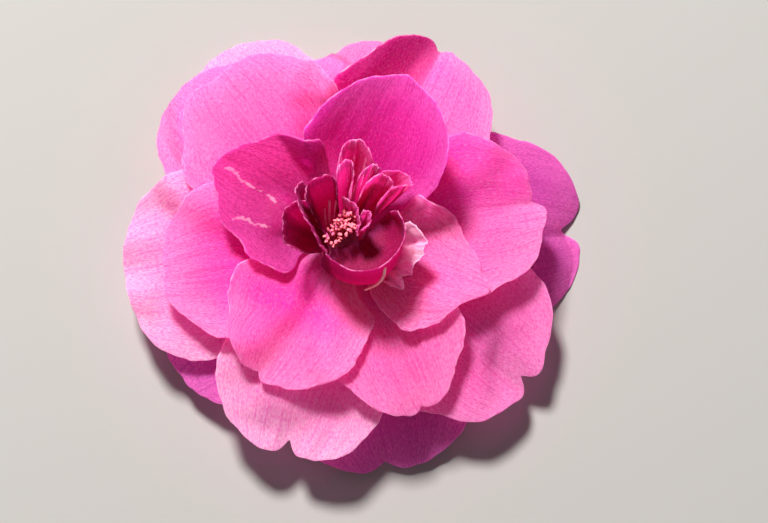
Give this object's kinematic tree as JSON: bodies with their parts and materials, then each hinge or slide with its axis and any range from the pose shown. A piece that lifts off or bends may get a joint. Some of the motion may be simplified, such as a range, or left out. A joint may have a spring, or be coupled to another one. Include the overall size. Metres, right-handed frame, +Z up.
{
  "type": "camellia flower",
  "caption": "Pink peony-form camellia bloom as picked, face up: overlapping wavy petals round a heart of small petaloids and stamens, on a green calyx with a short cut stalk.",
  "frame": {"origin": "on the surface that the bloom rests on, under the middle of its bounding box", "axes": "+Z up, along the axis of the bloom out of its face; +Y towards the top of the bloom as it is usually seen, +X to its right"},
  "size_m": [0.1028, 0.0988, 0.0398],
  "materials": {
    "bract": "dry olive-brown scale",
    "petal_mauve": "mauve-pink shaded back petal, satin",
    "petal_pale": "pale pink living petal, satin, a little translucent, fine veins",
    "petal_inner": "deep rose inner petal, satin, fine veins, paler rim",
    "petal_pink": "rose-pink living petal, satin, fine veins, paler rim",
    "petaloid": "deep rose petaloid, satin, thin pale edge",
    "receptacle": "pale green fleshy core",
    "sepal": "downy olive-green scale with a brown margin",
    "stalk_end": "olive-brown stalk, cut end",
    "stamen": "pale filament with a matt golden anther"
  },
  "bodies": {
    "root": {"bract_1": "bract", "bract_2": "bract", "bract_3": "bract", "bract_4": "bract", "petal_back_bottom": "petal_mauve", "petal_back_left": "petal_pale", "petal_back_lower_left": "petal_mauve", "petal_back_right": "petal_mauve", "petal_back_top": "petal_pale", "petal_back_top_left": "petal_pale", "petal_bottom": "petal_pale", "petal_inner_left": "petal_inner", "petal_inner_right": "petal_inner", "petal_inner_top": "petal_inner", "petal_left": "petal_pale", "petal_lower_right": "petal_pale", "petal_mid_left": "petal_pink", "petal_mid_lower_left": "petal_pink", "petal_mid_lower_right": "petal_pink", "petal_mid_right": "petal_pink", "petal_top_right": "petal_pink", "petal_upper_left": "petal_pink", "petaloid_cup": "petaloid", "petaloid_curl": "petaloid", "petaloid_left": "petaloid", "petaloid_left_fold": "petaloid", "petaloid_top": "petaloid", "petaloid_upper": "petaloid", "petaloid_upper_fold": "petaloid", "petaloid_upper_left": "petaloid", "petaloid_upper_narrow": "petaloid", "petaloid_upper_right": "petaloid", "receptacle": "receptacle", "sepal_1": "sepal", "sepal_2": "sepal", "sepal_3": "sepal", "sepal_4": "sepal", "sepal_5": "sepal", "stalk_end": "stalk_end", "stamen_01": "stamen", "stamen_02": "stamen", "stamen_03": "stamen", "stamen_04": "stamen", "stamen_05": "stamen", "stamen_06": "stamen", "stamen_07": "stamen", "stamen_08": "stamen", "stamen_09": "stamen", "stamen_10": "stamen", "stamen_11": "stamen", "stamen_stray": "stamen"}
  },
  "joints": []
}
